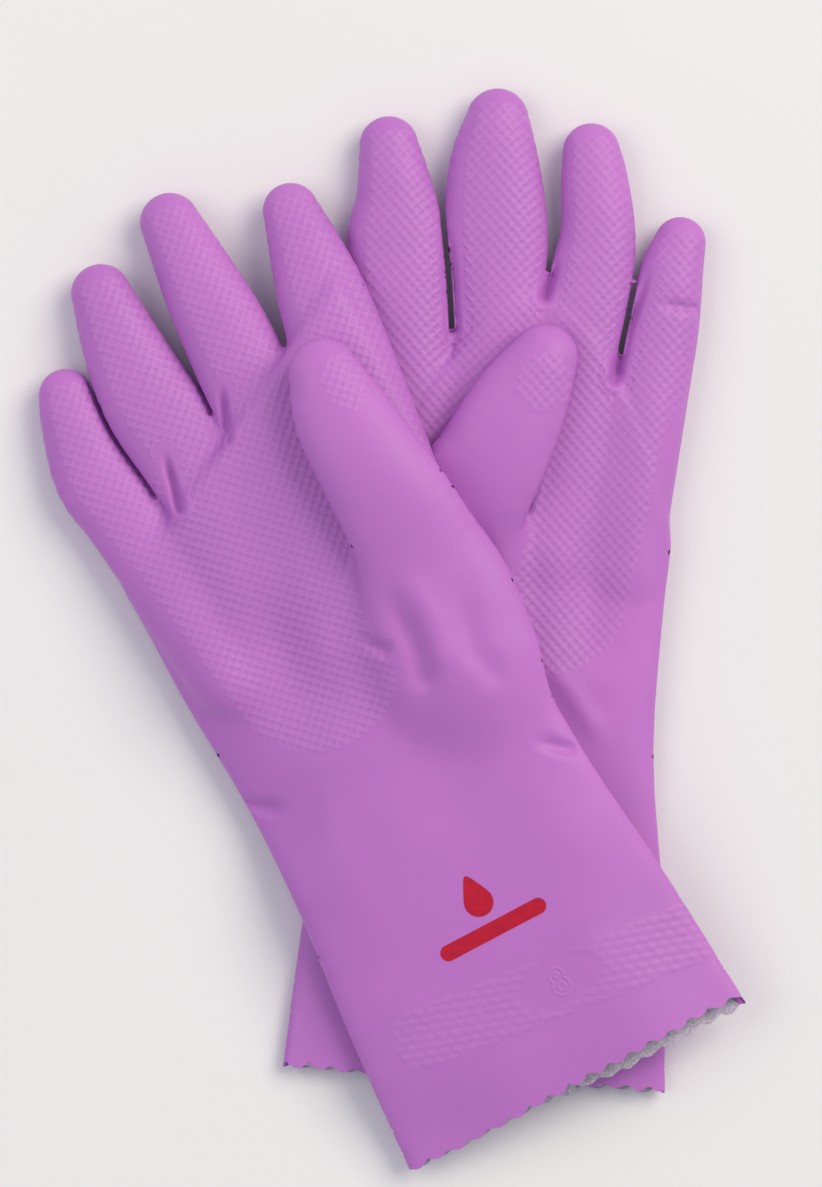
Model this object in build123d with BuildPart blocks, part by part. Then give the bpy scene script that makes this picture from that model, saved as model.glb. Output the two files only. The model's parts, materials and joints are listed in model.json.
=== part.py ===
"""A pair of household rubber gloves, lying palm up, the right-hand glove across the left-hand one.

Millimetres. +Z is up, +Y runs from the cuffs to the fingertips, and the pair stands on Z = 0.
Each glove is a dipped latex skin over a cotton flock lining. Both layers part at the middle
knuckle of every digit, where the digit flexes about a line across its palm side.
"""

import os
from collections import namedtuple
from math import cos, radians, sin

from build123d import *

# Driving dimensions
SKIN_WALL = 0.6
LINING_WALL = 0.3
PRINT_WALL = 0.12
KNUCKLE_GAP = 0.4
COLLAR = 3.0
OPEN_END_OVERRUN = 0.5
TAPER_START = 0.4
TAPER_BULGE = 1.25
TABLE_HEIGHT = 0.0
PRINT_FROM_MOUTH = 54.0
BAR_LENGTH = 36.0
BAR_WIDTH = 5.0
DROP_RADIUS = 4.5
DROP_LENGTH = 9.0
DROP_FROM_BAR = 9.5
DROP_SHOULDER_ANGLE = 30.0
MARK_REACH = 30.0

# A ring of the palm and cuff: its distance from the cuff mouth, its half width and half
# thickness, and the height of its centre.
Ring = namedtuple("Ring", "along half_width half_thickness height")

# A digit: its root inside the palm, its knuckle and its tip, then its half widths and its half
# thicknesses at the root, at the knuckle and just before the round end.
Digit = namedtuple("Digit", "root knuckle tip half_widths half_thicknesses")

# A glove: the centre of its cuff mouth, its heading in degrees clockwise from +Y, the roll in
# degrees that lifts its +X side, then its rings and its digits.
Glove = namedtuple("Glove", "mouth heading roll rings digits")

left_glove = Glove(
    mouth=(26.2, -138.0),
    heading=3.8,
    roll=0.0,
    rings=(
        Ring(0.0, 59.0, 5.0, 4.6),
        Ring(54.0, 55.0, 6.2, 5.8),
        Ring(104.0, 49.5, 6.8, 6.4),
        Ring(156.0, 50.0, 7.2, 6.8),
        Ring(192.0, 50.5, 6.8, 6.4),
    ),
    digits={
        "index": Digit(
            root=(9.5, 30.0, 6.9), knuckle=(2.8, 120.1, 7.3), tip=(-0.9, 158.0, 6.8),
            half_widths=(15.5, 14.3, 10.0), half_thicknesses=(6.0, 7.2, 6.4),
        ),
        "middle": Digit(
            root=(35.3, 30.0, 6.9), knuckle=(33.3, 122.5, 7.4), tip=(34.0, 166.3, 6.9),
            half_widths=(15.5, 15.5, 10.5), half_thicknesses=(6.2, 7.3, 6.6),
        ),
        "ring": Digit(
            root=(49.0, 25.0, 6.9), knuckle=(62.8, 110.8, 7.4), tip=(62.0, 155.9, 6.8),
            half_widths=(13.5, 12.0, 9.5), half_thicknesses=(6.0, 7.2, 6.2),
        ),
        "little": Digit(
            root=(72.0, 20.0, 6.8), knuckle=(83.6, 88.0, 7.1), tip=(91.4, 126.9, 6.5),
            half_widths=(12.0, 10.8, 8.5), half_thicknesses=(5.7, 6.9, 5.8),
        ),
        "thumb": Digit(
            root=(17.0, 6.0, 8.6), knuckle=(31.8, 53.7, 21.6), tip=(53.6, 92.1, 21.2),
            half_widths=(17.0, 16.5, 11.0), half_thicknesses=(7.4, 7.4, 6.6),
        ),
    },
)

right_glove = Glove(
    mouth=(57.4, -139.6),
    heading=-28.05,
    roll=7.0,
    rings=(
        Ring(0.0, 57.7, 5.0, 18.8),
        Ring(48.0, 54.3, 6.0, 20.6),
        Ring(84.0, 50.5, 6.6, 21.6),
        Ring(122.0, 49.5, 7.0, 21.8),
        Ring(160.0, 51.0, 7.2, 21.6),
        Ring(190.0, 50.5, 6.6, 21.2),
    ),
    digits={
        "index": Digit(
            root=(9.0, 23.0, 29.0), knuckle=(-17.9, 94.8, 20.4), tip=(-33.3, 137.0, 8.2),
            half_widths=(14.0, 14.2, 9.5), half_thicknesses=(5.6, 7.2, 6.4),
        ),
        "middle": Digit(
            root=(-18.0, 15.5, 22.6), knuckle=(-51.5, 93.2, 15.0), tip=(-71.5, 133.6, 7.8),
            half_widths=(15.0, 13.4, 9.0), half_thicknesses=(5.4, 7.3, 6.4),
        ),
        "ring": Digit(
            root=(-31.0, 7.0, 20.4), knuckle=(-73.2, 72.0, 11.4), tip=(-92.3, 111.9, 7.4),
            half_widths=(14.0, 13.2, 9.3), half_thicknesses=(6.0, 7.2, 6.2),
        ),
        "little": Digit(
            root=(-48.5, -13.5, 17.4), knuckle=(-88.8, 44.6, 8.6), tip=(-102.6, 79.6, 6.8),
            half_widths=(12.5, 11.0, 8.6), half_thicknesses=(5.7, 6.9, 5.8),
        ),
        "thumb": Digit(
            root=(22.0, -8.0, 28.4), knuckle=(-4.0, 47.5, 40.4), tip=(-24.1, 88.0, 35.6),
            half_widths=(19.0, 16.6, 10.8), half_thicknesses=(8.4, 7.6, 6.6),
        ),
    },
)


def heading_vector(degrees):
    """The level direction that is this far clockwise from +Y."""
    return Vector(sin(radians(degrees)), cos(radians(degrees)), 0)


def ring_plane(glove, along, height):
    """The plane across a glove at one distance from its cuff mouth, its X across the palm."""
    forward = heading_vector(glove.heading)
    centre = Vector(*glove.mouth, height) + forward * along
    roll = radians(glove.roll)
    across = heading_vector(glove.heading + 90) * cos(roll) + Vector(0, 0, sin(roll))
    return Plane(origin=centre, x_dir=across, z_dir=forward)


def digit_plane(start, end, distance=0.0):
    """The plane across a digit, this far from start towards end, its X level."""
    start, end = Vector(*start), Vector(*end)
    forward = (end - start).normalized()
    return Plane(
        origin=start + forward * distance, x_dir=forward.cross(Vector(0, 0, 1)), z_dir=forward
    )


def oval(half_width, half_thickness):
    """An ellipse in two halves that meet at its side edges."""
    with BuildSketch() as sketch:
        with BuildLine():
            for start in (0, 180):
                EllipticalCenterArc((0, 0), half_width, half_thickness, start_angle=start, arc_size=180)
        make_face()
    return sketch.sketch


def palm_and_cuff(glove, inset, overrun=0.0):
    """The palm and cuff as a solid, moved inwards by inset and carried past the mouth by overrun."""
    first, last = glove.rings[0], glove.rings[-1]
    stations = {first: -overrun, last: last.along - inset}
    with BuildPart() as body:
        for ring in glove.rings:
            along = stations.get(ring, ring.along)
            with BuildSketch(ring_plane(glove, along, ring.height)):
                add(oval(ring.half_width - inset, ring.half_thickness - inset))
        loft()
    return body.part


def digit_stub(digit, inset, overrun=0.0):
    """The part of a digit from inside the palm to its knuckle, moved inwards by inset."""
    planes = (digit_plane(digit.root, digit.knuckle), digit_plane(digit.knuckle, digit.tip, overrun))
    with BuildPart() as stub:
        for plane, half_width, half_thickness in zip(planes, digit.half_widths, digit.half_thicknesses):
            with BuildSketch(plane):
                add(oval(half_width - inset, half_thickness - inset))
        loft()
    return stub.part


def hand_shape(glove, inset, overrun=0.0):
    """The palm, cuff and stubs of one glove as a solid that stays inset above the table."""
    with BuildPart() as hand:
        add(palm_and_cuff(glove, inset, overrun))
        for digit in glove.digits.values():
            add(digit_stub(digit, inset, overrun))
        split(bisect_by=Plane.XY.offset(TABLE_HEIGHT + inset), keep=Keep.TOP)
    return hand.part


def digit_shape(digit, inset, overrun=0.0):
    """The part of a digit beyond its knuckle: a tapered finger with a round end, then flattened."""
    length = (Vector(*digit.tip) - Vector(*digit.knuckle)).length - inset
    wide, narrow = digit.half_widths[1] - inset, digit.half_widths[2] - inset
    start = KNUCKLE_GAP - overrun
    with BuildPart() as round_finger:
        with BuildSketch(Plane.XZ):
            with BuildLine():
                open_end = Polyline((length, 0), (start, 0), (start, wide), (COLLAR, wide))
                taper = Bezier(
                    open_end @ 1, (TAPER_START * length, wide),
                    (length - 2 * narrow, TAPER_BULGE * narrow), (length - narrow, narrow),
                )
                RadiusArc(taper @ 1, (length, 0), narrow)
            make_face()
        revolve(axis=Axis.X)
    flatness = (digit.half_thicknesses[1] - inset) / wide
    flat_finger = scale(round_finger.part, by=(1, 1, flatness), mode=Mode.PRIVATE)
    across = digit_plane(digit.knuckle, digit.tip)
    lying = Plane(origin=across.origin, x_dir=across.z_dir, z_dir=across.x_dir.cross(across.z_dir))
    return lying.location * flat_finger


def layer(shape, piece, outside, wall):
    """One hollow layer of a glove: shape at the outside inset, less shape one wall further in."""
    with BuildPart() as shell:
        add(shape(piece, outside))
        add(shape(piece, outside + wall, OPEN_END_OVERRUN), mode=Mode.SUBTRACT)
    return shell.part


def mark_plane(glove):
    """The level plane above the cuff on which the printed mark is drawn, its Y up the glove."""
    forward = heading_vector(glove.heading)
    centre = Vector(*glove.mouth, 0) + forward * PRINT_FROM_MOUTH
    mid_ring = glove.rings[1]
    return Plane(
        origin=centre + Vector(0, 0, mid_ring.height + MARK_REACH),
        x_dir=heading_vector(glove.heading + 90), z_dir=(0, 0, 1),
    )


os.makedirs("parts", exist_ok=True)

for side, glove in (("left", left_glove), ("right", right_glove)):

    # Latex skin of the palm and cuff
    with BuildPart() as hand_skin:
        add(layer(hand_shape, glove, 0.0, SKIN_WALL))
    hand_skin.part.label = f"{side}_hand_skin"
    export_step(hand_skin.part, f"parts/{side}_hand_skin.step")

    # Flock lining of the palm and cuff
    with BuildPart() as hand_lining:
        add(layer(hand_shape, glove, SKIN_WALL, LINING_WALL))
    hand_lining.part.label = f"{side}_hand_lining"
    export_step(hand_lining.part, f"parts/{side}_hand_lining.step")

    for name, digit in glove.digits.items():

        # Latex skin of a digit beyond its knuckle
        with BuildPart() as digit_skin:
            add(layer(digit_shape, digit, 0.0, SKIN_WALL))
        digit_skin.part.label = f"{side}_{name}_skin"
        export_step(digit_skin.part, f"parts/{side}_{name}_skin.step")

        # Flock lining of a digit beyond its knuckle
        with BuildPart() as digit_lining:
            add(layer(digit_shape, digit, SKIN_WALL, LINING_WALL))
        digit_lining.part.label = f"{side}_{name}_lining"
        export_step(digit_lining.part, f"parts/{side}_{name}_lining.step")

    # Ink mark on the palm side of the cuff: a plain drop above a plain bar
    shoulder = (
        DROP_RADIUS * cos(radians(DROP_SHOULDER_ANGLE)),
        DROP_FROM_BAR + DROP_RADIUS * sin(radians(DROP_SHOULDER_ANGLE)),
    )
    with BuildPart() as print_mark:
        add(palm_and_cuff(glove, -PRINT_WALL))
        add(palm_and_cuff(glove, 0.0), mode=Mode.SUBTRACT)
        with BuildSketch(mark_plane(glove)):
            SlotOverall(BAR_LENGTH, BAR_WIDTH)
            with Locations((0, DROP_FROM_BAR)):
                Circle(DROP_RADIUS)
            with BuildLine():
                Polyline(
                    (-shoulder[0], shoulder[1]), (0, DROP_FROM_BAR + DROP_LENGTH), shoulder, close=True
                )
            make_face()
        extrude(amount=-MARK_REACH, mode=Mode.INTERSECT)
    print_mark.part.label = f"{side}_print"
    export_step(print_mark.part, f"parts/{side}_print.step")
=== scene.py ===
"""Looks for a pair of household rubber gloves, lying palm up, the right-hand one across the left-hand one.

Lengths are millimetres until a mesh is made. A glove's outside is the zero level of a distance
field: a flat palm and cuff joined to a tube for each digit. The field is turned into a mesh on a
grid that runs along the lines of the embossed grip, so each ridge of the grip is a line of the mesh.
"""

import json
from collections import namedtuple

import bmesh
import bpy
import numpy as np
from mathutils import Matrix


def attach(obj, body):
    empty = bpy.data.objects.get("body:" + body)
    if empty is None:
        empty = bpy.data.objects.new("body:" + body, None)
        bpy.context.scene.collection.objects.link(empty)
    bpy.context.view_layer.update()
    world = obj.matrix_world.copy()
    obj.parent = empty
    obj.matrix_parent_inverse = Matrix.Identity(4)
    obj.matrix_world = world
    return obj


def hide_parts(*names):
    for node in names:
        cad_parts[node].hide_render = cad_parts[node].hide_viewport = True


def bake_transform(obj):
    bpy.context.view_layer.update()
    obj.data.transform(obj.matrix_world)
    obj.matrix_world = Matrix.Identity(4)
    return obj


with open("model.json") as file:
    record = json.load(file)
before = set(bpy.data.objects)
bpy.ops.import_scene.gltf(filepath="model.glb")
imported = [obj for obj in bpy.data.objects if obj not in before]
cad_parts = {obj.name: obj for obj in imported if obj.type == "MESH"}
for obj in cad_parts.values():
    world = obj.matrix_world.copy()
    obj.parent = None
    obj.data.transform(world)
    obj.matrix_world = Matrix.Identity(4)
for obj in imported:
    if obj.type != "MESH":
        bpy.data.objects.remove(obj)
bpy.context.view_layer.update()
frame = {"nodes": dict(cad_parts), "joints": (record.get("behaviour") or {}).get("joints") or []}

import openvdb
from mathutils import Vector
from mathutils.bvhtree import BVHTree

MM = 0.001
FAR = 1000.0
UP = np.array([0.0, 0.0, 1.0])

# The overhead view and the floor, in metres
CAMERA_HEIGHT = 3.5
FRAME_HEIGHT = 0.3664
FRAME_CENTRE = (0.0068, 0.0110)
SENSOR_HEIGHT_MM = 24.0
FLOOR_HALF_WIDTH = 4.0

# The walls. The lining lies deeper past the forearm, clear of the folds pressed into the skin.
SKIN_WALL = 0.6
CUFF_WALL_REACH = 45.0
LINING_WALL = 0.3
LINING_DEPTH = 0.7
LINING_DEPTH_INSIDE = 2.3
LINING_DEEPENS = (60, 130)

# The embossed grip
GRIP_PITCH = 2.45
GRIP_HEIGHT = 0.28
RIDGE_HALF_WIDTH = 0.64

# The pinched slits at the crotches, with a lip on both sides
SLIT_HALF_WIDTH = 1.1
SLIT_DEPTH = 3.0
LINING_SLIT_SPARE = 3.2
LIP_FROM_SLIT = 2.9
LIP_HALF_WIDTH = 1.3
LIP_HEIGHT = 0.55

# How the digits join the palm. RELEASE is more than any gap, so it lets a gap close.
FINGERS = ("index", "middle", "ring", "little")
FINGER_ROUNDING = 1.4
ROOT_ROUNDING = 4.0
CROTCH_ROUNDING = 5.0
FINGER_CLEARANCE = 1.6
THUMB_CLEARANCE = 2.2
RELEASE = 14.0
WEB_ROUNDING = (0.5, 14.0)
WEB_REACH = 16.0
GLOVE_CLEARANCE = 0.5
FLOOR_CLEARANCE = 0.15

# The bend of a digit in its height over the knuckle at rest
BEND_REACH = 14.0

# The mesh
CELL = GRIP_PITCH / 2
LINING_CELL = GRIP_PITCH
FLATNESS = 0.6
SETTLING_STEPS = 3
SMOOTHING_STEPS = 3
TWIN_GAP = 0.03
CRUMPLE_GAP = 0.25
SLIT_FINE_REACH = 6.0
NUMBER_FINE_REACH = 6.5

# The scalloped cuff edge
SCALLOP_PITCH = 7.0
SCALLOP_DEPTH = 0.9
CUFF_OVERRUN = 6.0

# A ring of the palm and cuff: distance from the mouth, half width, half thickness, mid height.
Ring = namedtuple("Ring", "along half_width half_thickness height")

# A digit: stations of (distance beyond the knuckle, bow to the right, half width) up to the centre of
# its round end, and the height of its middle at the root, the knuckle and the tip.
Digit = namedtuple("Digit", "stations heights half_thickness")

# A soft hill or hollow on the palm side: place along and across the glove, radii, turn, height.
Swell = namedtuple("Swell", "along across radii turn height")

# A fold or slit on the palm side: points along and across the glove, half width, height.
Fold = namedtuple("Fold", "points half_width height")

# slits are the pinched crotches between fingers, as points along and across the glove.
Glove = namedtuple("Glove", "side heading roll mouth_step rings crotch_line droops digits swells folds "
                   "slits grip_side thumb_patch")


left_glove = Glove(
    side="left",
    heading=3.8,
    roll=0.0,
    mouth_step=0.5,
    rings=(
        Ring(-8, 59.5, 4.2, 4.0),
        Ring(0, 59.0, 4.4, 4.2),
        Ring(54, 55.0, 5.8, 5.4),
        Ring(104, 48.5, 6.8, 6.4),
        Ring(156, 49.0, 7.2, 6.8),
        Ring(192, 50.5, 7.4, 7.0),
        Ring(245, 51.0, 7.0, 6.8),
    ),
    crotch_line=lambda across: 240.0 - 0.032 * (across - 3.0) ** 2,
    droops=(),
    digits={
        "index": Digit(
            ((-90, -2, 16.0), (-45, -2, 16.3), (-6, -0.9, 15.9), (12.6, 0.5, 12.3), (29, 0, 9.1)),
            (7.0, 7.4, 6.9), 7.4,
        ),
        "middle": Digit(
            ((-92, 3.5, 15.5), (-50, 2, 15.3), (-17, 0.4, 15.3), (1.3, -0.3, 16.0), (19.8, -1.1, 14.0),
             (34.5, -0.4, 9.6)),
            (7.0, 7.5, 7.0), 7.5,
        ),
        "ring": Digit(
            ((-85, -15.3, 13.5), (-40, -8, 13.5), (-8, -1.6, 13.4), (10.5, 1.7, 11.7), (27, 1.0, 10.4),
             (36.3, 0.2, 8.8)),
            (7.0, 7.5, 6.9), 7.5,
        ),
        "little": Digit(
            ((-69, 2, 12.0), (-13, -0.2, 11.9), (5.5, -0.5, 11.4), (22, -0.9, 9.8), (31.7, -0.1, 7.9)),
            (6.9, 7.2, 6.6), 7.0,
        ),
        "thumb": Digit(
            ((-49, 10.7, 17.0), (-19.3, 1.2, 18.6), (-0.7, 0.2, 17.0), (18.1, -0.6, 14.7),
             (33.6, -0.8, 10.4)),
            (8.6, 21.8, 21.4), 7.6,
        ),
    },
    swells=(
        Swell(150, 27, (20, 9), 8, -3.4),
        Swell(126, 24, (8, 10), 0, 1.2),
        Swell(176, 12, (16, 9), 0, -1.0),
        Swell(205, 40, (18, 8), 0, 0.8),
        Swell(228, -20, (14, 7), 0, -1.2),
    ),
    folds=(
        Fold(((241, 43), (240.5, 54)), 1.6, -1.6),
        Fold(((172, -11), (164, -6.5), (156, -3)), 1.8, -1.6),
        Fold(((128, 14), (120, 22), (107, 32)), 3.5, 1.0),
    ),
    slits=(
        ((258, -25), (242, -22.8), (229.5, -21.8)),
        ((252, 8.5), (246, 7.2), (241, 5.8)),
        ((250, 37), (232, 31.8), (217, 28.8)),
    ),
    grip_side=1,
    thumb_patch=(26.8, 3.5, 9.3, 8.3),
)

right_glove = Glove(
    side="right",
    heading=-28.05,
    roll=7.0,
    mouth_step=3.4,
    rings=(
        Ring(-8, 58.3, 4.0, 18.4),
        Ring(0, 57.7, 4.2, 18.8),
        Ring(48, 54.3, 5.6, 20.6),
        Ring(84, 50.5, 6.6, 21.6),
        Ring(122, 49.2, 7.0, 21.8),
        Ring(160, 51.0, 7.4, 21.6),
        Ring(190, 51.0, 7.4, 20.8),
        Ring(250, 51.0, 7.0, 17.5),
    ),
    crotch_line=lambda across: 226.0 + 0.52 * across,
    droops=(
        (lambda along, across: ramp(across, -12, -50) * ramp(along, 84, 122), 7.0),
        (lambda along, across: ramp(across, -12, -50) * ramp(along, 32, 4), 4.0),
        (lambda along, across: ramp(across, 20, 58) * ramp(along, 110, 20), 7.0),
    ),
    digits={
        "index": Digit(
            ((-77, 0.7, 14.5), (-35, 0, 15.3), (0.6, 0, 14.4), (19.2, 0.2, 12.0), (36.4, 0.1, 8.6)),
            (26.0, 19.6, 7.4), 7.5,
        ),
        "middle": Digit(
            ((-84, -4.4, 15.0), (-40, -1.2, 14.6), (-8.4, 0.2, 13.9), (10, 0, 12.7), (35.9, -0.1, 9.2)),
            (21.0, 14.6, 7.2), 7.5,
        ),
        "ring": Digit(
            ((-77, 10, 14.0), (-19, 1.9, 15.4), (-0.5, -1.2, 14.8), (18, -1.4, 12.3), (35, -0.5, 9.2)),
            (18.6, 11.2, 7.0), 7.5,
        ),
        "little": Digit(
            ((-69, 16, 12.5), (-15, 4.4, 13.1), (2.5, -0.7, 12.7), (21.4, -0.8, 9.9), (29.3, 0, 8.3)),
            (14.4, 8.2, 6.8), 7.1,
        ),
        "thumb": Digit(
            ((-61, -1.4, 20.4), (-36, 0.7, 20.4), (-17.6, 1.5, 18.5), (1.1, 0, 16.7), (19.8, -1.4, 14.8),
             (34.5, -0.6, 10.8)),
            (28.4, 40.6, 36.0), 7.9,
        ),
    },
    swells=(
        Swell(160, -17, (22, 10), 8, -5.0),
        Swell(140, -9, (11, 13), 0, -1.6),
        Swell(186, -4, (20, 14), 0, -1.2),
        Swell(128, 30, (20, 13), 0, 1.6),
        Swell(100, -30, (26, 9), 12, 1.2),
        Swell(96, 10, (24, 16), 0, -1.6),
        Swell(70, 36, (20, 10), -20, 1.0),
        Swell(168, -38, (32, 8), 0, 1.5),
    ),
    folds=(
        Fold(((157, 20), (140, 19.4), (128, 16)), 3.4, -2.2),
        Fold(((164, 27), (146, 28), (130, 24)), 4.2, 1.4),
        Fold(((150, 40), (132, 35), (118, 38)), 4.0, -1.4),
        Fold(((125.3, -50), (121, -46), (117, -40)), 2.0, -2.4),
        Fold(((98, 40), (94, 44), (90, 49)), 1.8, -2.0),
        Fold(((151, 7.5), (147, 9.5), (144, 12.5)), 1.8, -2.2),
    ),
    slits=(
        ((230, -20.5), (221, -22.4), (213, -24.4)),
        ((240, 4.6), (232, 1.6), (225, -1.4)),
    ),
    grip_side=-1,
    thumb_patch=(28.5, 4.8, 9.5, 7.0),
)

# The cuff band of raised bricks, the plain oval with the size number, and the printed drop and bar
CUFF_BAND_ENDS = ((34.5, -35.0), (24.5, 53.0))
CUFF_BAND_HALF_WIDTH = 9.2
CUFF_PATTERN_REACH = 50.0
BRICK_TALL = 2.6
BRICK_WIDE = 4.0
BRICK_TURN = 18.0
SIZE_OVAL = (30.5, 10.3, 7.7, 14.0)
PRINT_FROM_MOUTH = 54.0
BAR_LENGTH = 36.0
BAR_WIDTH = 5.0
DROP_RADIUS = 4.5
DROP_LENGTH = 9.0
DROP_FROM_BAR = 9.5
INK = 0.12


# ---------------------------------------------------------------- small shapes of numbers

def ramp(value, start, end):
    """0 before start and 1 past end, with a smooth rise between."""
    t = np.clip((value - start) / (end - start), 0, 1)
    return t * t * (3 - 2 * t)


def soft_min(a, b, radius):
    """The lower of two distances, rounded over where they are within radius of each other."""
    h = np.clip(0.5 + 0.5 * (b - a) / radius, 0, 1)
    return b + (a - b) * h - radius * h * (1 - h)


def soft_max(a, b, radius):
    return -soft_min(-a, -b, radius)


def spread(rows, steps=4):
    """A smooth run of rows through the given ones."""
    rows = np.asarray(rows, float)
    padded = np.vstack([2 * rows[0] - rows[1], rows, 2 * rows[-1] - rows[-2]])
    run = []
    for a, b, c, d in zip(padded, padded[1:], padded[2:], padded[3:]):
        for t in np.arange(steps) / steps:
            run.append(0.5 * (2 * b + (c - a) * t + (2 * a - 5 * b + 4 * c - d) * t**2
                              + (3 * b - a - 3 * c + d) * t**3))
    return np.array(run + [rows[-1]])


def level(degrees):
    """The level direction that is this far clockwise from +Y."""
    angle = np.radians(degrees)
    return np.array([np.sin(angle), np.cos(angle), 0.0])


# ---------------------------------------------------------------- the gloves as distance fields

class Tube:
    """One digit from inside the palm to its tip, flattened, with a round end."""

    def __init__(self, joint, digit):
        across = np.array(joint["axis"], float)
        forward = np.cross(UP, across)
        along, bow, widths = spread(digit.stations).T
        tip = digit.stations[-1][0] + digit.stations[-1][2]
        ends = (digit.stations[0][0], 0.0, tip)
        shifts = np.linspace(-BEND_REACH, BEND_REACH, 9)
        heights = np.mean([np.interp(along + shift, ends, digit.heights) for shift in shifts], axis=0)
        rise = (digit.heights[2] - digit.heights[1]) / tip
        lift = UP - forward * rise
        pivot = np.array(joint["pos_m"], float) / MM
        knuckle = pivot - lift / np.linalg.norm(lift) * digit.half_thickness
        centres = knuckle + np.outer(along, forward) + np.outer(bow, across)
        centres[:, 2] = heights
        self.centres = centres
        self.along = along
        self.widths = widths
        self.thicknesses = np.minimum(digit.half_thickness, 0.68 * widths)
        heading = np.gradient(centres, axis=0)
        sides = np.cross(heading, UP)
        self.sides = sides / np.linalg.norm(sides, axis=1)[:, None]
        self.reach = widths.max() + WEB_REACH
        self.tip = tip
        self.knuckle = knuckle
        self.forward = forward

    def measure(self, points):
        """Distance to the tube, distance beyond the knuckle, and place across it from -1 to 1."""
        found = np.full((len(points), 3), FAR)
        low, high = self.centres.min(0) - self.reach, self.centres.max(0) + self.reach
        near = np.flatnonzero(np.all((points > low) & (points < high), axis=1))
        p = points[near]
        best = np.full((len(p), 3), FAR)
        for i in range(len(self.centres) - 1):
            start, run = self.centres[i], self.centres[i + 1] - self.centres[i]
            t = np.clip((p - start) @ run / (run @ run), 0, 1)
            width = self.widths[i] + (self.widths[i + 1] - self.widths[i]) * t
            thick = self.thicknesses[i] + (self.thicknesses[i + 1] - self.thicknesses[i]) * t
            side = self.sides[i] + np.outer(t, self.sides[i + 1] - self.sides[i])
            offset = p - start - np.outer(t, run)
            x = np.einsum("ij,ij->i", offset, side)
            y = offset @ (run / np.linalg.norm(run))
            z = np.sqrt(np.maximum(np.einsum("ij,ij->i", offset, offset) - x * x - y * y, 0))
            k = np.sqrt((x / width) ** 2 + (y / width) ** 2 + (z / thick) ** 2)
            slope = np.sqrt((x / width**2) ** 2 + (y / width**2) ** 2 + (z / thick**2) ** 2)
            distance = (k - 1) * k / np.maximum(slope, 1e-6)
            closer = distance < best[:, 0]
            along = self.along[i] + (self.along[i + 1] - self.along[i]) * t + y
            best[closer] = np.stack([distance, along, x / width], 1)[closer]
        found[near] = best
        return found


class Field:
    """The outside of one glove, and where a point lies on it."""

    def __init__(self, glove, below=None, inset=0.0):
        self.glove = glove
        self.below = below
        self.inset = inset
        self.forward = level(glove.heading)
        self.across = level(glove.heading + 90)
        self.mouth = self.cuff_mouth()
        self.rings = spread(glove.rings)
        joints = {joint["child"]: joint for joint in frame["joints"]}
        self.tubes = {name: Tube(joints[f"{glove.side}_{name}"], digit)
                      for name, digit in glove.digits.items()}

    def cuff_mouth(self):
        """The middle of the cuff's mouth in plan, from the CAD hand."""
        mesh = frame["nodes"][f"{self.glove.side}_hand_skin"].data
        points = np.array([v.co for v in mesh.vertices]) / MM
        along = points @ self.forward
        across = points[along < along.min() + 1.0] @ self.across
        return self.forward * along.min() + self.across * (across.min() + across.max()) / 2

    def place(self, points):
        """How far points are along the glove from its mouth, and across it."""
        return (points - self.mouth) @ self.forward, (points - self.mouth) @ self.across

    def mid_height(self, along, across):
        height = np.interp(along, self.rings[:, 0], self.rings[:, 3])
        height = height + across * np.tan(np.radians(self.glove.roll))
        for share, drop in self.glove.droops:
            height = height - drop * share(along, across)
        return height

    def palm(self, points):
        along, across = self.place(points)
        width, thick = (np.interp(along, self.rings[:, 0], self.rings[:, i]) for i in (1, 2))
        x = np.abs(across) / width
        z = np.abs(points[:, 2] - self.mid_height(along, across)) / thick
        power = 2.5
        k = np.maximum((x**power + z**power) ** (1 / power), 1e-6)
        slope = np.hypot(x ** (power - 1) / width, z ** (power - 1) / thick) / k ** (power - 1)
        distance = (k - 1) / np.maximum(slope, 1 / width)
        distance = np.maximum(distance, -CUFF_OVERRUN - along)
        return soft_max(distance, along - self.glove.crotch_line(across), CROTCH_ROUNDING)

    def parts(self, points):
        """The palm's distance, and each digit's distance, place along and place across."""
        return self.palm(points), {name: tube.measure(points) for name, tube in self.tubes.items()}

    def __call__(self, points):
        palm, digits = self.parts(points)
        distance, along, _ = digits["thumb"].T
        clear_of_thumb = THUMB_CLEARANCE - distance - RELEASE * ramp(along, -12, -28)
        hand = soft_min(palm, self.fingers(points, digits), ROOT_ROUNDING)
        hand = soft_max(hand, clear_of_thumb, 0.8)
        web = WEB_ROUNDING[0] + WEB_ROUNDING[1] * ramp(along, -4, -50)
        hand = soft_min(hand, distance, web)
        hand = soft_max(hand, FLOOR_CLEARANCE - points[:, 2], 2.0)
        if self.below is not None:
            hand = soft_max(hand, GLOVE_CLEARANCE - self.below(points), 1.2)
        if self.inset:
            deeper = ramp(self.place(points)[0], *LINING_DEEPENS)
            hand = hand + self.inset + (LINING_DEPTH_INSIDE - self.inset) * deeper
        return hand

    def fingers(self, points, digits):
        """The distance to the four fingers, with a gap between neighbours past the crotch."""
        distances = [digits[name][:, 0] for name in FINGERS]
        joined = np.full(len(points), FAR)
        for distance in distances:
            joined = soft_min(joined, distance, FINGER_ROUNDING)
        first, second = np.sort(distances, axis=0)[:2]
        along, across = self.place(points)
        past_crotch = along - self.glove.crotch_line(across)
        gap = (FINGER_CLEARANCE - (second - first)) / 2 - RELEASE * ramp(past_crotch, 9, 3)
        return soft_max(joined, gap, 0.4)


def slopes(field, points, step=0.15):
    here = field(points)
    ahead = [field(points + step * axis) for axis in np.eye(3)]
    return here, np.stack([(value - here) / step for value in ahead], 1)


# ---------------------------------------------------------------- field to mesh

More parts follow.
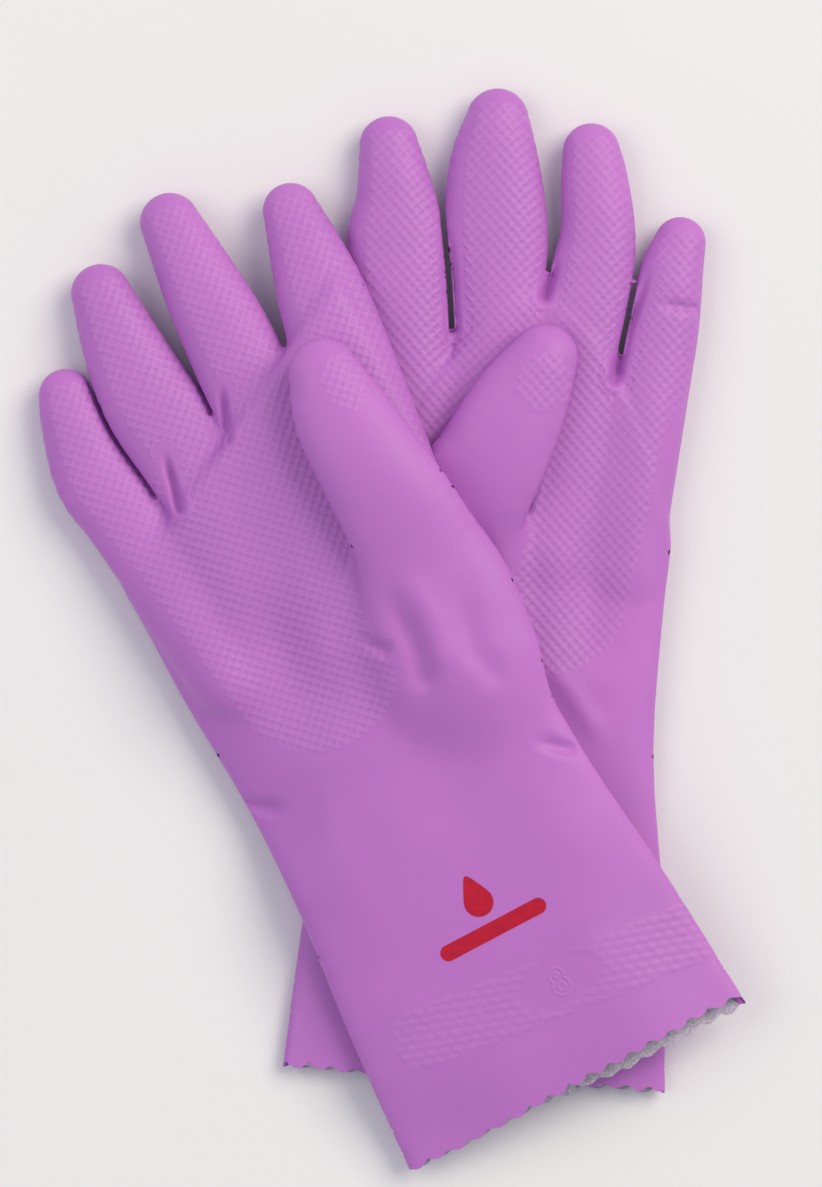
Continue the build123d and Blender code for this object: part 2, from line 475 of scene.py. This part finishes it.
def polygonise(field, low, high, axes, cell):
    """The quads of a field's zero level, on a grid along the axes, worked out only near the surface."""
    block = 4
    counts = (np.ceil((high - low) / cell / block).astype(int) + 1)
    index = np.stack(np.meshgrid(*[np.arange(n) for n in counts], indexing="ij"), -1).reshape(-1, 3)
    centre = low + (index * block + (block - 1) / 2) * cell
    coarse = field(centre @ axes)
    dense = np.repeat(np.repeat(np.repeat(coarse.reshape(counts), block, 0), block, 1), block, 2)
    near = index[np.abs(coarse) < block * cell * 1.5]
    inside = np.stack(np.meshgrid(*[np.arange(block)] * 3, indexing="ij"), -1).reshape(-1, 3)
    nodes = (near[:, None, :] * block + inside[None]).reshape(-1, 3)
    dense[tuple(nodes.T)] = field((low + nodes * cell) @ axes)
    grid = openvdb.FloatGrid(FAR)
    grid.copyFromArray(np.clip(dense, -FAR, FAR).astype(np.float32))
    points, quads = grid.convertToQuads(isovalue=0.0)
    return points.astype(float), quads.astype(int)


def settle(field, points, axes, cell, low):
    """Moves mesh points onto the field, those of the flat parts straight up or down from cell centres."""
    world = (low + points * cell) @ axes
    here, slope = slopes(field, world)
    flat = np.abs(slope[:, 2]) > FLATNESS * np.linalg.norm(slope, axis=1)
    points = points.copy()
    points[flat, :2] = np.floor(points[flat, :2]) + 0.5
    world = (low + points * cell) @ axes
    for _ in range(SETTLING_STEPS):
        here, slope = slopes(field, world)
        steepness = np.maximum(np.linalg.norm(slope, axis=1), 0.2)
        climb = np.where(slope[:, 2] < 0, -1, 1) * np.maximum(np.abs(slope[:, 2]), 0.2)
        upright = here / np.where(flat, climb, 1)
        step = np.where(flat[:, None], np.outer(upright, UP), (here / steepness**2)[:, None] * slope)
        world -= np.clip(step, -cell, cell)
    return world


def mesh_field(field, cell, margin=4.0):
    """Points in millimetres and quads for the whole outside of a glove."""
    axes = np.array((level(field.glove.heading + 45), level(field.glove.heading - 45), UP))
    ends = [tube.centres + sign * tube.reach for tube in field.tubes.values() for sign in (-1, 1)]
    ends += [field.mouth - field.forward * CUFF_OVERRUN + field.across * side for side in (-62, 62)]
    extent = np.vstack(ends) @ axes.T
    low, high = extent.min(0) - margin, extent.max(0) + margin
    low[2] = -margin
    low[:2] = np.floor(low[:2] / GRIP_PITCH) * GRIP_PITCH - cell / 2
    points, quads = polygonise(field, low, high, axes, cell)
    return settle(field, points, axes, cell, low), quads


# ---------------------------------------------------------------- what lies on the surface

def line_distance(points, line):
    """Distance in plan to a line of points, and how far along the line it is, from 0 to 1."""
    line = np.asarray(line, float)
    best, share = np.full(len(points), FAR), np.zeros(len(points))
    for i, (start, end) in enumerate(zip(line, line[1:])):
        run = end - start
        t = np.clip((points - start) @ run / (run @ run), 0, 1)
        distance = np.linalg.norm(points - start - np.outer(t, run), axis=1)
        closer = distance < best
        best[closer], share[closer] = distance[closer], ((i + t) / (len(line) - 1))[closer]
    return best, share


def slit_distance(glove, plan):
    return np.min([line_distance(plan, slit)[0] for slit in glove.slits], axis=0)


def relief(field, plan):
    """The height of the soft hills, hollows, folds and slits of the palm side at places in plan."""
    height = np.zeros(len(plan))
    half_width = SLIT_HALF_WIDTH + (LINING_SLIT_SPARE if field.inset else 0)
    for slit in field.glove.slits:
        distance, share = line_distance(plan, slit)
        lip = LIP_HEIGHT * np.exp(-(((distance - LIP_FROM_SLIT) / LIP_HALF_WIDTH) ** 2))
        height += lip * ramp(share, 0.45, 0.95)
        height -= SLIT_DEPTH * ramp(share, -0.1, 0.4) * np.exp(-((distance / half_width) ** 2))
    for swell in field.glove.swells:
        offset = plan - (swell.along, swell.across)
        c, s = np.cos(np.radians(swell.turn)), np.sin(np.radians(swell.turn))
        x, y = offset @ (c, s), offset @ (-s, c)
        height += swell.height * np.exp(-((x / swell.radii[0]) ** 2 + (y / swell.radii[1]) ** 2))
    for fold in field.glove.folds:
        distance, share = line_distance(plan, fold.points)
        fade = ramp(share, -0.2, 0.35) * ramp(share, 1.08, 0.8)
        height += fold.height * fade * np.exp(-((distance / fold.half_width) ** 2))
    return height


def palm_grip(glove, along, across):
    """1 where the palm carries the grip: above a rounded heel, short of the smooth outer strip."""
    outer = across * -glove.grip_side
    heel = 152.0 - 27.5 * np.sqrt(np.clip(1 - ((outer + 11.0) / 27.0) ** 2, 0, 1))
    strip = -39.0 - 0.14 * (along - 156.0)
    return ramp(along, heel, heel + 0.8) * ramp(outer, strip, strip + 0.8) * (outer < 60)


def regions(field, points):
    """Which digit each point belongs to beyond its knuckle, or -1, and the share of grip there."""
    glove = field.glove
    along, across = field.place(points)
    digits = field.parts(points)[1]
    names = list(digits)
    distances = np.stack([digits[name][:, 0] for name in names], 1)
    nearest = distances.argmin(1)
    owner = np.full(len(points), -1)
    thumb_distance, thumb_along, thumb_share = digits["thumb"].T
    on_thumb = (thumb_distance < 1.2) & (thumb_distance <= distances.min(1) + 1e-9)
    grip = palm_grip(glove, along, across) * ramp(thumb_distance, 2.0, 3.2)
    for i, name in enumerate(names):
        distance, beyond, share = digits[name].T
        here = distance < THUMB_CLEARANCE / 2 if name == "thumb" else (nearest == i) & (distance < 2.5)
        owner[here & (beyond > 0)] = i
        if name == "thumb":
            continue
        tip = field.tubes[name].tip
        on_digit = (nearest == i) & (beyond > -32) & ~on_thumb
        finger_grip = ramp(share, -0.66, -0.6) * ramp(share, 0.99, 0.9) * ramp(beyond, tip - 3, tip - 6)
        blend = ramp(beyond, -30, -14)
        grip = np.where(on_digit, grip + (finger_grip - grip) * blend, grip)
    patch_along, patch_bow, patch_long, patch_wide = glove.thumb_patch
    width = np.interp(thumb_along, field.tubes["thumb"].along, field.tubes["thumb"].widths)
    thumb_bow = thumb_share * width
    inside = np.hypot((thumb_along - patch_along) / patch_long, (thumb_bow - patch_bow) / patch_wide)
    grip = np.where(on_thumb, ramp(inside, 1.04, 0.96), grip)
    off_slit = slit_distance(glove, np.stack([along, across], 1))
    return owner, grip * ramp(off_slit, LIP_FROM_SLIT, LIP_FROM_SLIT + 1.5)


def lattice(field, points):
    """1 on the lines of the grip, 0 between them."""
    height = np.zeros(len(points))
    for turn in (45, -45):
        place = points @ level(field.glove.heading + turn)
        off_line = np.abs((place / GRIP_PITCH + 0.5) % 1 - 0.5) * GRIP_PITCH
        height = np.maximum(height, 1 - off_line / RIDGE_HALF_WIDTH)
    return np.maximum(height, 0)


def band_and_number(along, across):
    """The share of the cuff band at a place, and the height of its brick pattern and its size number."""
    plan = np.stack([along, across], 1)
    distance, _ = line_distance(plan, CUFF_BAND_ENDS)
    oval_along, oval_across, oval_tall, oval_wide = SIZE_OVAL
    oval = np.hypot((along - oval_along) / oval_tall, (across - oval_across) / oval_wide)
    band = ramp(distance, CUFF_BAND_HALF_WIDTH + 0.4, CUFF_BAND_HALF_WIDTH - 0.4) * ramp(oval, 0.97, 1.03)
    turn = np.radians(BRICK_TURN)
    row_place = along * np.cos(turn) + across * np.sin(turn)
    row = np.floor(row_place / BRICK_TALL)
    in_row = (row_place / BRICK_TALL) % 1
    in_brick = ((across * np.cos(turn) - along * np.sin(turn)) / BRICK_WIDE + 0.5 * (row % 2)) % 1
    brick = np.sin(np.pi * in_row) ** 0.6 * np.sin(np.pi * in_brick) ** 0.5
    loops = ((oval_along + 2.1, 1.55), (oval_along - 1.7, 2.0))
    stroke = np.min([np.abs(np.hypot(along - middle, across - oval_across) - radius)
                     for middle, radius in loops], axis=0)
    number = np.maximum(0, 1 - np.abs(stroke - 0.75) / 0.42)
    return band, brick, number


def mouth_edge(field, points):
    """How far from the mouth plane the scalloped cuff edge is cut, at the places of the points."""
    along, across = field.place(points)
    palm_side = ramp(points[:, 2] - field.mid_height(0 * along, across), -1.2, 1.2)
    wave = np.abs(np.sin(np.pi * across / SCALLOP_PITCH + 0.9 * palm_side))
    uneven = 0.35 * np.sin(across * 0.23 + 1.0) * np.sin(across * 0.11)
    set_back = field.glove.mouth_step * ramp(across, -22, 18) * (palm_side - 0.75)
    return set_back + uneven - 2 * SCALLOP_DEPTH * (wave - 0.5)


def cut_mouth(bm, field):
    """Cuts the cuff along its scalloped edge, by straightening the edge, cutting, and putting it back."""
    def shift(sign):
        points = np.array([v.co for v in bm.verts])
        for vert, move in zip(bm.verts, mouth_edge(field, points)):
            vert.co += Vector(field.forward * sign * move)

    shift(-1)
    bmesh.ops.bisect_plane(bm, geom=bm.verts[:] + bm.edges[:] + bm.faces[:], dist=1e-5, clear_inner=True,
                           plane_co=field.mouth, plane_no=field.forward)
    shift(1)


def subdivide_where(bm, wanted, cuts=1):
    """Divides the faces whose middles are wanted."""
    middles = np.array([face.calc_center_median() for face in bm.faces])
    faces = [face for face, yes in zip(bm.faces, wanted(middles)) if yes]
    edges = list({edge for face in faces for edge in face.edges})
    bmesh.ops.subdivide_edges(bm, edges=edges, cuts=cuts, use_grid_fill=True)


def vertex_array(bm, what="co"):
    return np.array([getattr(v, what) for v in bm.verts])


def move_to(bm, points):
    for vert, place in zip(bm.verts, points):
        vert.co = place
    bm.normal_update()


def press(bm, field):
    """Presses the soft hills, hollows and folds into the palm side."""
    points, facing = vertex_array(bm), vertex_array(bm, "normal")[:, 2]
    along, across = field.place(points)
    thumb_distance, thumb_along, _ = field.parts(points)[1]["thumb"].T
    off_thumb = 1 - ramp(thumb_along, -36, -14) * ramp(thumb_distance, 4.0, 1.5)
    lift = relief(field, np.stack([along, across], 1)) * ramp(facing, 0.3, 0.7) * off_thumb
    points[:, 2] += np.where(points[:, 2] > 2.0, lift, 0)
    move_to(bm, points)


def emboss(bm, field):
    """Raises the grip, the cuff band and the size number, and returns the share of ridge at each vertex,
    where the latex gets a painted highlight.
    """
    points, normals = vertex_array(bm), vertex_array(bm, "normal")
    along, across = field.place(points)
    grip = regions(field, points)[1]
    palm_side = ramp(normals[:, 2], 0.3, 0.6)
    band, brick, number = band_and_number(along, across)
    ridge = grip * palm_side * lattice(field, points)
    cuff = palm_side * np.where(along < CUFF_PATTERN_REACH, np.maximum(band * brick, number), 0)
    move_to(bm, points + normals * (GRIP_HEIGHT * (ridge + cuff))[:, None])
    return np.clip(ridge + 0.5 * cuff, 0, 1)


# ---------------------------------------------------------------- pieces

def walled(points, normals, faces, wall, backed):
    """Adds the inside of a wall behind the backed points of a sheet, with a rim round its open edges."""
    count = len(points)
    backs = [tuple(count + i for i in reversed(face)) for face in faces if all(backed[i] for i in face)]
    edges = {edge for face in faces for edge in zip(face, face[1:] + face[:1])}
    rims = [(b, a, count + a, count + b) for a, b in edges
            if (b, a) not in edges and backed[a] and backed[b]]
    return np.vstack([points, points - normals * wall]), np.vstack([normals, -normals]), faces + backs + rims


def new_piece(name, points, faces, normals, ridge, material):
    """A smooth mesh object in metres, with set normals so that neighbouring pieces meet without a seam."""
    used = np.unique([i for face in faces for i in face])
    number = np.zeros(len(points), int)
    number[used] = np.arange(len(used))
    number = number.tolist()
    mesh = bpy.data.meshes.new(name)
    mesh.from_pydata((points[used] * MM).tolist(), [], [[number[i] for i in face] for face in faces])
    mesh.polygons.foreach_set("use_smooth", [True] * len(mesh.polygons))
    # The share of ridge, on which the latex material paints a highlight.
    mesh.attributes.new("ridge", "FLOAT", "POINT").data.foreach_set("value", ridge[used].astype(np.float32))
    mesh.normals_split_custom_set_from_vertices(normals[used].tolist())
    mesh.materials.append(material)
    piece = bpy.data.objects.new(name, mesh)
    bpy.context.scene.collection.objects.link(piece)
    return piece


def put_on_body(piece, field, part, layer):
    """Puts the hand's piece on its body, bakes a digit's piece in place, and hides the CAD part the piece
    stands for.
    """
    side = field.glove.side
    if part == "hand":
        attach(piece, f"{side}_palm")
    else:
        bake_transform(piece)
    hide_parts(f"{side}_{part}_{layer}")


def round_sides(bm, field):
    """Evens out the mesh where the surface is steep, keeping it on the field."""
    for _ in range(SMOOTHING_STEPS):
        facing = np.abs(vertex_array(bm, "normal")[:, 2])
        steep = [v for v, up in zip(bm.verts, facing) if up < 0.9]
        bmesh.ops.smooth_vert(bm, verts=steep, factor=0.5, use_axis_x=True, use_axis_y=True, use_axis_z=True)
        points = np.array([v.co for v in steep])
        here, slope = slopes(field, points)
        points -= (here / np.maximum((slope**2).sum(1), 0.04))[:, None] * slope
        for vert, place in zip(steep, points):
            vert.co = place
        bm.normal_update()


def sheet_of(field, cell):
    """The glove's outside as an editable mesh in millimetres, open at the scalloped mouth."""
    points, quads = mesh_field(field, cell)
    bm = bmesh.new()
    verts = [bm.verts.new(point) for point in points.tolist()]
    for quad in quads.tolist():
        bm.faces.new([verts[i] for i in quad])
    bm.normal_update()
    if bm.calc_volume(signed=True) < 0:
        bmesh.ops.reverse_faces(bm, faces=bm.faces[:])
    bmesh.ops.remove_doubles(bm, verts=bm.verts[:], dist=TWIN_GAP)
    bm.normal_update()
    round_sides(bm, field)
    bmesh.ops.remove_doubles(bm, verts=bm.verts[:], dist=CRUMPLE_GAP)
    cut_mouth(bm, field)

    def near_slit(middles):
        facing = np.array([face.normal.z for face in bm.faces])
        plan = np.stack(field.place(middles), 1)
        return (facing > 0.1) & (slit_distance(field.glove, plan) < SLIT_FINE_REACH)

    bm.normal_update()
    if not field.inset:
        subdivide_where(bm, near_slit)
        bm.normal_update()
    press(bm, field)
    return bm


def make_layer(field, layer, material, bm, ridge, wall, backed):
    """One layer of a glove from its finished sheet: a piece for the hand and one for each digit."""
    bm.verts.index_update()
    points, normals = vertex_array(bm), vertex_array(bm, "normal")
    faces = [tuple(v.index for v in face.verts) for face in bm.faces]
    middles = np.array([face.calc_center_median() for face in bm.faces])
    owner = regions(field, middles)[0]
    bm.free()
    for i, part in enumerate(["hand", *field.tubes]):
        own = [face for face, who in zip(faces, owner.tolist()) if who == i - 1]
        walls = walled(points, normals, own, wall, backed(part, points))
        piece = new_piece(f"{field.glove.side}_{part}_{layer}_soft", walls[0], walls[2], walls[1],
                          np.concatenate([ridge, 0 * ridge]), material)
        put_on_body(piece, field, part, layer)


def make_skin(field, material):
    bm = sheet_of(field, CELL)

    def has_pattern(middles):
        along, across = field.place(middles)
        band = band_and_number(along, across)[0]
        grip = regions(field, middles)[1]
        facing = np.array([face.normal.z for face in bm.faces])
        return (facing > 0.25) & ((grip > 0.01) | ((along < CUFF_PATTERN_REACH) & (band > 0.01)))

    def near_number(middles):
        along, across = field.place(middles)
        facing = np.array([face.normal.z for face in bm.faces])
        off_number = np.hypot(along - SIZE_OVAL[0], across - SIZE_OVAL[1])
        return (facing > 0.25) & (off_number < NUMBER_FINE_REACH)

    subdivide_where(bm, has_pattern)
    subdivide_where(bm, near_number, cuts=3)
    ridge = emboss(bm, field)

    def backed(part, points):
        return (field.place(points)[0] < CUFF_WALL_REACH) & (part == "hand")

    make_layer(field, "skin", material, bm, ridge, SKIN_WALL, backed)


def make_lining(field, material):
    bm = sheet_of(field, LINING_CELL)
    ridge = np.zeros(len(bm.verts))
    make_layer(field, "lining", material, bm, ridge, LINING_WALL,
               lambda part, points: np.ones(len(points), bool))


def make_print(glove, field, skin, material):
    """The printed mark: a plain drop above a plain bar, laid on the cuff."""
    mesh = skin.data
    tree = BVHTree.FromPolygons([v.co for v in mesh.vertices], [tuple(p.vertices) for p in mesh.polygons])
    bm = bmesh.new()
    rows, columns = 6, 48
    bar = slot_outline(BAR_LENGTH, BAR_WIDTH, columns)
    drop = drop_outline(columns)
    for outline, centre in ((bar, (0, 0)), (drop, (0, DROP_FROM_BAR + 1.0))):
        rings = [[bm.verts.new((*(np.array(centre) + share * (np.array(p) - centre)), 0)) for p in outline]
                 for share in np.arange(rows, 0, -1) / rows]
        middle = bm.verts.new((*centre, 0))
        for outer, inner in zip(rings, rings[1:]):
            for a, b, c, d in zip(outer, outer[1:] + outer[:1], inner[1:] + inner[:1], inner):
                bm.faces.new((a, b, c, d))
        for a, b in zip(rings[-1], rings[-1][1:] + rings[-1][:1]):
            bm.faces.new((a, b, middle))
    for vert in bm.verts:
        place = field.mouth + field.forward * (PRINT_FROM_MOUTH + vert.co.y) + field.across * vert.co.x
        hit = tree.ray_cast(Vector((*place[:2], 100.0)) * MM, Vector((0, 0, -1)))[0]
        vert.co = Vector((place[0], place[1], hit.z / MM))
    bm.normal_update()
    points, normals = vertex_array(bm), vertex_array(bm, "normal")
    bm.verts.index_update()
    faces = [tuple(v.index for v in face.verts) for face in bm.faces]
    bm.free()
    points, normals, faces = walled(points + normals * INK, normals, faces, INK, np.ones(len(points), bool))
    piece = new_piece(f"{glove.side}_print_ink", points, faces, normals, np.zeros(len(points)), material)
    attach(piece, f"{glove.side}_palm")
    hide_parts(f"{glove.side}_print")


def slot_outline(length, width, count):
    """Points round a bar with round ends."""
    turns = np.linspace(0, 2 * np.pi, count, endpoint=False) + np.pi / count
    flat = length / 2 - width / 2
    return [(np.sign(np.cos(t)) * flat + width / 2 * np.cos(t), width / 2 * np.sin(t)) for t in turns]


def drop_outline(count):
    """Points round a drop: a circle with its top drawn up to a point."""
    points = []
    for t in np.linspace(0, 2 * np.pi, count, endpoint=False) + np.pi / 2:
        x, y = DROP_RADIUS * np.cos(t), DROP_RADIUS * np.sin(t)
        rise = max(0.0, np.sin(t)) ** 3
        points.append((x * (1 - 0.35 * rise), DROP_FROM_BAR + y + (DROP_LENGTH - DROP_RADIUS) * rise))
    return points


# ---------------------------------------------------------------- materials

def new_material(name):
    """A material with its shader, and a function that adds a node and links its inputs."""
    material = bpy.data.materials.new(name)
    material.use_nodes = True
    tree = material.node_tree

    def add(kind, settings=None, **inputs):
        node = tree.nodes.new(kind)
        for key, value in (settings or {}).items():
            setattr(node, key, value)
        for key, value in inputs.items():
            socket = node.inputs[int(key[1:]) if key[0] == "_" else key.replace("_", " ").title()]
            if isinstance(value, bpy.types.NodeSocket):
                tree.links.new(value, socket)
            else:
                socket.default_value = value
        return node

    return material, tree.nodes["Principled BSDF"], tree, add


def noise(add, scale, detail=3.0, place=None):
    place = place or add("ShaderNodeTexCoord").outputs["Object"]
    return add("ShaderNodeTexNoise", vector=place, scale=scale, detail=detail).outputs["Fac"]


def mapped(add, value, low, high, out_low, out_high):
    node = add("ShaderNodeMapRange")
    for name, number in (("From Min", low), ("From Max", high), ("To Min", out_low), ("To Max", out_high)):
        node.inputs[name].default_value = number
    node.id_data.links.new(value, node.inputs["Value"])
    return node.outputs["Result"]


def mixed(add, share, first, second):
    node = add("ShaderNodeMix", {"data_type": "RGBA"})
    links = node.id_data.links
    links.new(share, node.inputs["Factor"])
    for socket, value in ((node.inputs[6], first), (node.inputs[7], second)):
        if isinstance(value, bpy.types.NodeSocket):
            links.new(value, socket)
        else:
            socket.default_value = value
    return node.outputs[2]


def latex_material():
    material, shader, tree, add = new_material("latex")
    broad = noise(add, 22.0)
    fine = noise(add, 900.0, 2.0)
    ridge = add("ShaderNodeAttribute", {"attribute_name": "ridge"}).outputs["Fac"]
    rubber = mixed(add, mapped(add, broad, 0.3, 0.7, 0, 1), (0.50, 0.172, 0.585, 1), (0.545, 0.188, 0.62, 1))
    # The crests of the grip, the cuff bricks and the size number are painted a lighter violet: a painted
    # highlight where the raised lines catch the light.
    grip = mixed(add, mapped(add, ridge, 0.1, 1.0, 0, 0.16), rubber, (0.66, 0.36, 0.76, 1))
    tree.links.new(grip, shader.inputs["Base Color"])
    tree.links.new(mapped(add, broad, 0.3, 0.7, 0.40, 0.50), shader.inputs["Roughness"])
    bump = add("ShaderNodeBump", strength=0.10, distance=0.0002, height=fine)
    tree.links.new(bump.outputs["Normal"], shader.inputs["Normal"])
    shader.inputs["Specular IOR Level"].default_value = 0.35
    shader.inputs["Subsurface Weight"].default_value = 0.12
    shader.inputs["Subsurface Radius"].default_value = (0.004, 0.0015, 0.004)
    shader.inputs["Subsurface Scale"].default_value = 1.0
    return material


def flock_material():
    material, shader, tree, add = new_material("flock")
    fibres = noise(add, 1400.0, 4.0)
    patches = noise(add, 60.0)
    colour = mixed(add, mapped(add, fibres, 0.35, 0.65, 0, 1), (0.42, 0.37, 0.47, 1), (0.70, 0.64, 0.74, 1))
    colour = mixed(add, mapped(add, patches, 0.3, 0.7, 0, 0.3), colour, (0.50, 0.44, 0.55, 1))
    tree.links.new(colour, shader.inputs["Base Color"])
    bump = add("ShaderNodeBump", strength=0.6, distance=0.0003, height=fibres)
    tree.links.new(bump.outputs["Normal"], shader.inputs["Normal"])
    shader.inputs["Roughness"].default_value = 0.95
    shader.inputs["Sheen Weight"].default_value = 0.3
    return material


def ink_material():
    material, shader, tree, add = new_material("ink")
    wear = noise(add, 500.0)
    colour = mixed(add, mapped(add, wear, 0.35, 0.7, 0, 1), (0.56, 0.010, 0.035, 1), (0.44, 0.010, 0.04, 1))
    tree.links.new(colour, shader.inputs["Base Color"])
    tree.links.new(mapped(add, wear, 0.3, 0.7, 0.45, 0.6), shader.inputs["Roughness"])
    shader.inputs["Specular IOR Level"].default_value = 0.2
    return material


def stage_material():
    material, shader, tree, add = new_material("stage")
    cloud = noise(add, 3.0)
    colour = mixed(add, mapped(add, cloud, 0.3, 0.7, 0, 1), (0.845, 0.86, 0.87, 1), (0.875, 0.89, 0.90, 1))
    tree.links.new(colour, shader.inputs["Base Color"])
    shader.inputs["Roughness"].default_value = 0.9
    return material


# ---------------------------------------------------------------- the scene

def area_light(name, place, aim, size, power, colour):
    light = bpy.data.lights.new(name, "AREA")
    light.size = size
    light.energy = power
    light.color = colour
    lamp = bpy.data.objects.new(name, light)
    lamp.location = place
    lamp.rotation_euler = (Vector(aim) - Vector(place)).to_track_quat("-Z", "Y").to_euler()
    bpy.context.scene.collection.objects.link(lamp)


def set_stage():
    bm = bmesh.new()
    bmesh.ops.create_grid(bm, x_segments=2, y_segments=2, size=FLOOR_HALF_WIDTH)
    mesh = bpy.data.meshes.new("floor")
    bm.to_mesh(mesh)
    bm.free()
    mesh.materials.append(stage_material())
    floor = bpy.data.objects.new("floor", mesh)
    bpy.context.scene.collection.objects.link(floor)

    scene = bpy.context.scene
    scene.view_settings.view_transform = "Standard"
    world = bpy.data.worlds.new("studio")
    world.use_nodes = True
    world.node_tree.nodes["Background"].inputs["Color"].default_value = (0.86, 0.87, 1.0, 1)
    world.node_tree.nodes["Background"].inputs["Strength"].default_value = 0.50
    scene.world = world
    area_light("key", (2.0, 1.5, 2.6), (0, 0, 0), 2.4, 84.0, (1.0, 0.91, 0.74))
    area_light("fill", (-1.8, 0.4, 2.4), (0, 0, 0), 2.0, 18.0, (1.0, 0.90, 0.84))

    camera = bpy.data.cameras.new("camera")
    camera.sensor_fit = "VERTICAL"
    camera.sensor_height = SENSOR_HEIGHT_MM
    camera.lens = SENSOR_HEIGHT_MM * CAMERA_HEIGHT / FRAME_HEIGHT
    camera.clip_end = 10.0
    eye = bpy.data.objects.new("camera", camera)
    eye.location = (FRAME_CENTRE[0], FRAME_CENTRE[1], CAMERA_HEIGHT)
    scene.collection.objects.link(eye)
    scene.camera = eye


latex, flock, ink = latex_material(), flock_material(), ink_material()
lower = Field(left_glove)
for glove, below in ((left_glove, None), (right_glove, lower)):
    outside = Field(glove, below)
    make_skin(outside, latex)
    make_lining(Field(glove, below, LINING_DEPTH), flock)
    make_print(glove, outside, bpy.data.objects[f"{glove.side}_hand_skin_soft"], ink)
set_stage()
